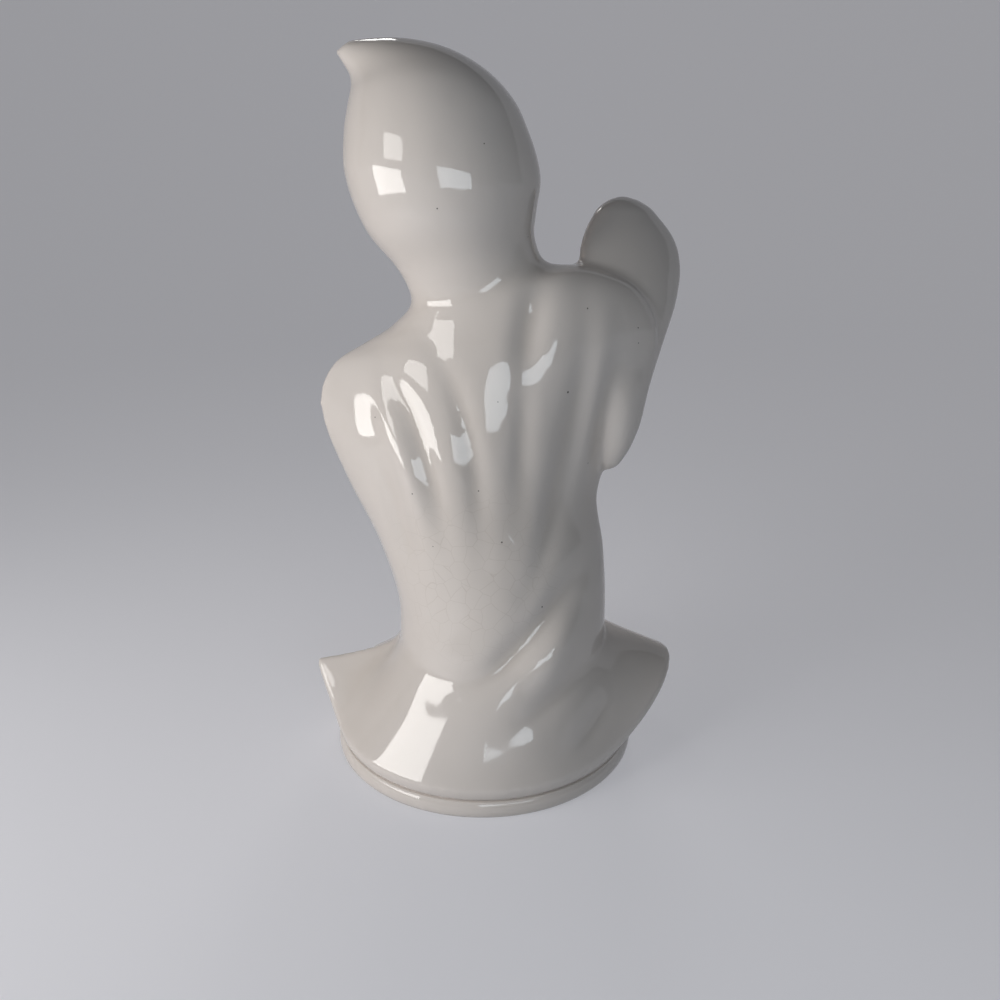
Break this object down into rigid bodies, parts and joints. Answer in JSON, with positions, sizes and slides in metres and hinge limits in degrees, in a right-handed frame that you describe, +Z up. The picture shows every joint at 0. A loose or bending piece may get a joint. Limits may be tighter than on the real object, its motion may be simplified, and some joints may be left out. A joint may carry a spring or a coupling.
{
  "type": "ghost figure",
  "caption": "Free-standing glazed ceramic ghost in a draped hooded sheet, one sleeve raised and one held out in front, on a round foot; a seasonal ornament.",
  "frame": {"origin": "middle of the foot's flat resting face", "axes": "+Z up; the hood's face looks along -Y and the folds of the back along +Y; the raised right sleeve is on -X"},
  "size_m": [0.1831, 0.1644, 0.3286],
  "materials": {
    "white_glaze": "gloss",
    "foot_glaze": "gloss",
    "dark_glaze": "gloss"
  },
  "bodies": {
    "root": {"ghost_body": "white_glaze", "right_sleeve": "white_glaze", "left_sleeve": "white_glaze", "foot": "foot_glaze", "left_eye": "dark_glaze", "right_eye": "dark_glaze", "mouth": "dark_glaze"}
  },
  "joints": []
}
